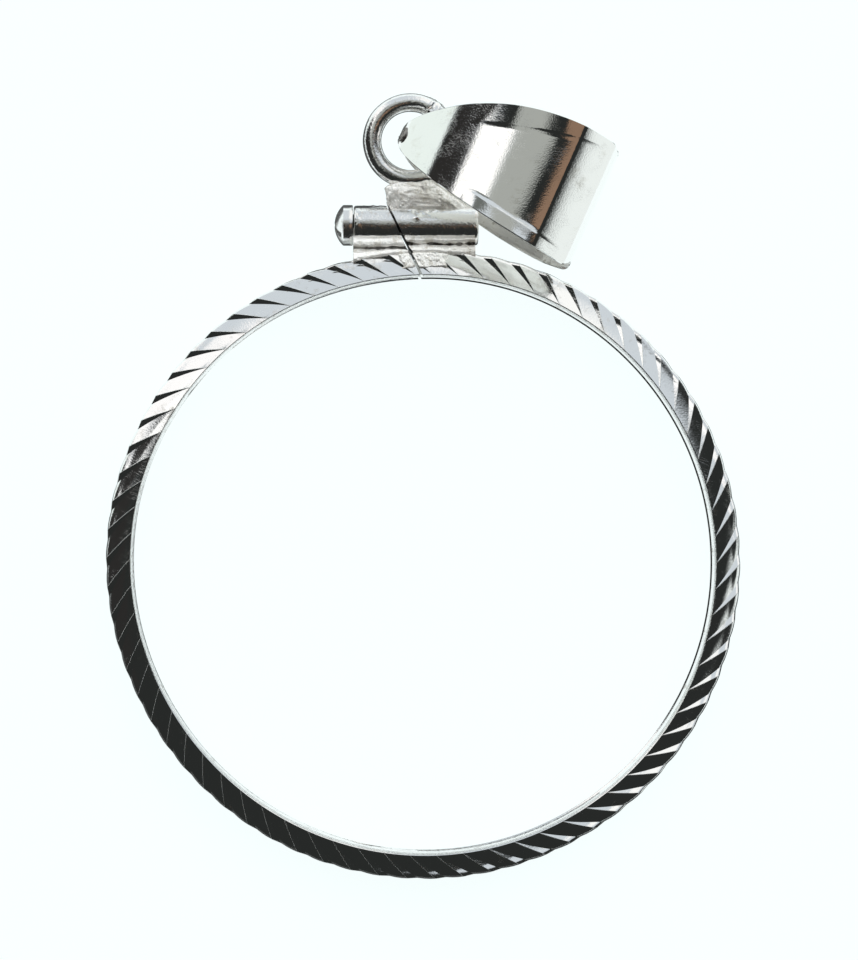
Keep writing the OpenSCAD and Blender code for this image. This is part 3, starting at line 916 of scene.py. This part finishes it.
def bailWidth(outer):
    # Lower and upper edge: middle - half and middle + half, with half = tip + (round end - tip) * sin of the
    # quarter turn by length ** widen, rounded at the tip and at the two corners
    s = outer[:, 0]
    part = s / bail["length"]
    half = bail["tipHalfW"] + (bail["halfW"] - bail["tipHalfW"]) * np.sin(np.pi / 2 * part ** bail["widen"])
    half = half * (1 - bail["tipRound"] * np.exp(-s / bail["tipRoundL"]))
    corner = bail["cornerR"]
    left = np.clip(corner - (bail["length"] - s), 0, corner)
    half = half - corner + np.sqrt(corner ** 2 - left ** 2)
    middle = bail["neckShift"] * (1 - part) ** 2 + bail["bow"] * np.sin(np.pi * part)
    middle = middle + bail["lean"] * outer[:, 1]
    return middle - half, middle + half


def bailAcross(outer):
    # Lines across the strip and how far each stands off it: from the lower edge over its band, the middle and
    # the upper band; a band rises by its width * lift * share from its inner line, after a small step there
    lo, hi = bailWidth(outer)
    length = np.array(bail["bands"])[:, 0]
    lower, upper, lowerLift, upperLift = (np.interp(outer[:, 0], length, row)
                                          for row in np.array(bail["bands"]).T[1:])
    shares = np.array(bail["bandSteps"])
    step = bail["crease"] * (shares < 1)[:, None]
    lowerStep, upperStep = (step * np.clip(lift / bail["creaseLift"], 0, 1)
                            for lift in (lowerLift, upperLift))
    across = [lo + k * lower for k in shares]
    rise = [(1 - k) * lower * lowerLift + up for k, up in zip(shares, lowerStep)]
    for k in np.linspace(0, 1, bail["middleLines"] + 2)[1:-1]:
        across.append(lo + lower + k * (hi - lo - lower - upper))
        rise.append(0 * lower)
    across += [hi - k * upper for k in shares[::-1]]
    rise += [(1 - k) * upper * upperLift + up for k, up in zip(shares[::-1], upperStep[::-1])]
    return np.stack(across, -1), np.stack(rise, -1)


def bailPoints():
    # Both faces of the strip with their edges eased by edge, then pitched, turned and laid on the table
    outer, inner, away = bailLines()
    across, rise = bailAcross(outer)
    faces = [line[:, None] + away[:, None] * rise[..., None] for line in (outer, inner)]
    upperFace, lowerFace = (np.stack([face[..., 0], across, face[..., 1]], -1) for face in faces)
    ring = []
    for face, other in ((upperFace, lowerFace), (lowerFace, upperFace)):
        body = face.copy()
        for c, sign in ((0, 1), (-1, -1)):
            body[:, c] = face[:, c] + (other[:, c] - face[:, c]) * bail["edge"] / bail["sheet"]
            body[:, c + sign] = face[:, c] + np.array([0, sign * bail["edge"], 0])
        ring.append(body)
    section = np.concatenate([ring[0], ring[1][:, ::-1]], 1)
    x, z = turnedBy(bail["pitch"], section[..., 0], section[..., 2])
    x, y = turnedBy(bail["yaw"], x, section[..., 1])
    return np.stack([x + bail["tip"][0], y + bail["tip"][1], z - z.min() - bezel["faceZ"]], -1)


points = bailPoints()
n, m = points.shape[:2]
inside = np.zeros((n, m), bool)
inside[:, m // 2:] = True
makePiece("foldedBail", points, gridFaces(n, m, closeRows=True, closeCols=True), silvers["bailSilver"],
          "hanger", "bail", second=(silvers["satinSilver"], inside.ravel()))

# Rough solder that closes the bail's tip
tipSolder = {"at": (-1.32, 26.68), "radii": (0.28, 0.62, 0.55), "lift": 1.0, "roughness": 0.1, "cell": 0.16,
             "around": 96, "down": 49}


def tipPoints():
    # An ellipsoid, its surface pushed out and in by the crust, turned to lie across the bail's tip
    a = circleSteps(tipSolder["around"])[None]
    b = np.linspace(0, np.pi, tipSolder["down"])[:, None]
    way = np.stack([np.sin(b) * np.cos(a), np.sin(b) * np.sin(a), np.cos(b) + 0 * a], -1)
    points = way * np.array(tipSolder["radii"])
    rough = tipSolder["roughness"] * crust(points, tipSolder["cell"], shift=11.0) * np.sin(b) ** 2
    points = points + rough[..., None] * way
    x, y = turnedBy(bail["yaw"], points[..., 0], points[..., 1])
    return np.stack([x + tipSolder["at"][0], y + tipSolder["at"][1], points[..., 2] + tipSolder["lift"]], -1)


points = tipPoints()
makePiece("tipSolder", points, gridFaces(*points.shape[:2], closeCols=True), silvers["shadeAndDarkSolder"],
          "hanger")
print("bail made")

# Floor, light and camera; the camera's sizes are in millimetres, the paper's in metres
studio = {
    "foot": (-5.8, 2.1),                # camera's place above the table
    "height": 214.65,
    "target": (0.229, 5.206),
    "focal": 214.65 / 0.06276,          # in pixels: height over the size of one
    "frameH": 960,
    "floorZ": -0.00166,
    "paperBase": 0.09,
    "paperGlow": (0.9, 0.975, 0.975),
    # the glow that metal sees rises between these pairs
    "shade": (0.2, 0.5),                # facing
    "litFrom": (0.003, 0.009),          # up the table
    "litLeft": (0.006, 0.009),
    "litFar": (0.028, 0.036),           # right of the rim
    "litInside": (0.0178, 0.0172),      # distance from the coin's centre
    "spotAt": (0.0158, 0.0212, -0.00166),
    "spotRadius": (0.0075, 0.006),
    # painted shade on the paper, seen only in the metal, left of the loop
    "darkAt": (-0.0072, 0.0255, -0.00166),
    "darkRadius": (0.0035, 0.005),
    "dimmest": 0.02,
}
corners = [(x, y, studio["floorZ"]) for x, y in ((-1, -1), (1, -1), (1, 1), (-1, 1))]
floorMesh = bpy.data.meshes.new("floor")
floorMesh.from_pydata(corners, [], [(0, 1, 2, 3)])
floor = bpy.data.objects.new("floor", floorMesh)
bpy.context.scene.collection.objects.link(floor)
floor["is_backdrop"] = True


def makePaper():
    # Paper that glows evenly. Seen in the metal, its glow is painted light and shade: it glows only where the
    # soft box would light it, and less the more steeply it is looked at, but for a painted bright spot beside
    # the bail's round end, and it is dimmed by a painted dark spot left of the loop
    paper, tree, shader = newMaterial("paper")
    shader.inputs["Base Color"].default_value = (studio["paperBase"],) * 3 + (1,)
    shader.inputs["Roughness"].default_value = 1
    shader.inputs["Emission Color"].default_value = (*studio["paperGlow"], 1)
    at = addNode(tree, "ShaderNodeTexCoord").outputs["Object"]
    across, high = addNode(tree, "ShaderNodeSeparateXYZ", {0: at}).outputs[:2]
    facing = addNode(tree, "ShaderNodeLayerWeight", {"Blend": 0.5}).outputs["Facing"]
    spot, dark = (addNode(tree, "ShaderNodeVectorMath", {0: at, 1: studio[key]}, operation="DISTANCE")
                  for key in ("spotAt", "darkAt"))
    centre = addNode(tree, "ShaderNodeVectorMath", {0: at}, operation="LENGTH")
    shade = ramp(tree, facing, *studio["shade"])
    lit = doMath(tree, "MAXIMUM", shade, ramp(tree, spot.outputs["Value"], *studio["spotRadius"]))
    left = ramp(tree, doMath(tree, "MULTIPLY", across, -1), *studio["litLeft"])
    lit = doMath(tree, "MAXIMUM", lit, left)
    lit = doMath(tree, "MULTIPLY", lit, ramp(tree, high, *studio["litFrom"]))
    lit = doMath(tree, "MAXIMUM", lit, ramp(tree, across, *studio["litFar"]))
    inside = doMath(tree, "MULTIPLY", shade, ramp(tree, centre.outputs["Value"], *studio["litInside"]))
    lit = doMath(tree, "MAXIMUM", lit, inside)
    lit = doMath(tree, "MULTIPLY", lit, ramp(tree, dark.outputs["Value"], *studio["darkRadius"]))
    lit = doMath(tree, "MAXIMUM", lit, studio["dimmest"])
    seen = addNode(tree, "ShaderNodeLightPath").outputs["Is Glossy Ray"]
    glow = addNode(tree, "ShaderNodeMix", {"Factor": seen, "A": 1, "B": lit}, data_type="FLOAT")
    tree.links.new(glow.outputs["Result"], shader.inputs["Emission Strength"])
    return paper


floorMesh.materials.append(makePaper())


def makeSkyPatchGroup():
    # Mask of a patch of sky: azimuth within Half of Middle, and angle from straight up between Low and High
    names = (("Azimuth", 0), ("Polar", 0), ("Middle", 0), ("Half", 30), ("Low", 0), ("High", 90), ("Soft", 4))
    group, give, end = newGroup("skyPatch", [(name, "Float", value) for name, value in names],
                                (("Mask", "Float"),))
    soft = (doMath(group, "MULTIPLY", give["Soft"], -0.5), doMath(group, "MULTIPLY", give["Soft"], 0.5))
    turn = doMath(group, "SUBTRACT", give["Azimuth"], give["Middle"])
    turn = doMath(group, "ABSOLUTE", doMath(group, "WRAP", turn, 180.0, -180.0))
    sides = ramp(group, doMath(group, "SUBTRACT", give["Half"], turn), *soft)
    above = ramp(group, doMath(group, "SUBTRACT", give["Polar"], give["Low"]), *soft)
    below = ramp(group, doMath(group, "SUBTRACT", give["High"], give["Polar"]), *soft)
    mask = doMath(group, "MULTIPLY", doMath(group, "MULTIPLY", sides, above), below)
    group.links.new(mask, end.inputs["Mask"])
    return group


# Soft boxes, cards and dark room round the table: azimuth and half width, low and high angle from straight
# up, softness, colour; later ones cover earlier ones
sky = {
    "room": (0.022, 0.024, 0.023),
    "dullExtra": 2.2,     # dull surfaces get this much more of the room's light than mirrors show
    "patches": (
        (88, 64, 16, 200, 8, (0.64, 0.69, 0.73)),       # main soft box
        (65, 17, 36, 200, 8, (1.04, 1.04, 1.02)),
        (132, 12, 38, 200, 5, (1.08, 1.06, 1.05)),
        (126, 11, 24, 36, 4, (0.15, 0.16, 0.15)),
        (150, 8, 77, 200, 5, (0.86, 0.94, 0.90)),
        (167, 22, 47, 77, 3, (0.025, 0.024, 0.023)),
        (144, 7, 25, 47, 4, (1.2, 1.19, 1.16)),
        (139, 72, 7, 25, 4, (0.39, 0.405, 0.38)),
        (-24, 34, 8.5, 26, 4, (0.26, 0.165, 0.11)),     # warm card behind the bail's brown band
        (-16, 7, 62, 200, 10, (0.87, 0.92, 0.90)),
    ),
}

world = bpy.data.worlds.new("studio")
bpy.context.scene.world = world
world.use_nodes = True
tree = world.node_tree
background = tree.nodes["Background"]
direction = addNode(tree, "ShaderNodeTexCoord").outputs["Generated"]
parts = addNode(tree, "ShaderNodeSeparateXYZ", {0: direction}).outputs
azimuth = doMath(tree, "DEGREES", doMath(tree, "ARCTAN2", parts[1], parts[0]))
polarAngle = doMath(tree, "DEGREES", doMath(tree, "ARCCOSINE", parts[2]))
patchGroup = makeSkyPatchGroup()
colour = (*sky["room"], 1)
for middle, half, low, high, soft, tint in sky["patches"]:
    patch = addNode(tree, "ShaderNodeGroup", {"Azimuth": azimuth, "Polar": polarAngle, "Middle": middle,
                                              "Half": half, "Low": low, "High": high, "Soft": soft},
                    node_tree=patchGroup)
    colour = addNode(tree, "ShaderNodeMix", {"Factor": patch.outputs["Mask"], "A": colour, "B": (*tint, 1)},
                     data_type="RGBA").outputs["Result"]
tree.links.new(colour, background.inputs["Color"])
dull = addNode(tree, "ShaderNodeLightPath").outputs["Is Diffuse Ray"]
tree.links.new(doMath(tree, "MULTIPLY_ADD", dull, sky["dullExtra"], 1.0), background.inputs["Strength"])

camera = bpy.data.objects.new("camera", bpy.data.cameras.new("camera"))
bpy.context.scene.collection.objects.link(camera)
bpy.context.scene.camera = camera
eye = np.array([*studio["foot"], studio["height"]]) * mm
target = np.array([*studio["target"], 0]) * mm
forward = (target - eye) / np.linalg.norm(target - eye)
right = np.cross(forward, (0, 1, 0))
right /= np.linalg.norm(right)
up = np.cross(right, forward)
camera.matrix_world = Matrix([[right[i], up[i], -forward[i], eye[i]] for i in range(3)] + [[0, 0, 0, 1]])
camera.data.sensor_width = 36
camera.data.lens = studio["focal"] / studio["frameH"] * camera.data.sensor_width
camera.data.clip_start = 0.01
bpy.context.scene.view_settings.view_transform = "Standard"
print("studio made")

low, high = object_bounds()
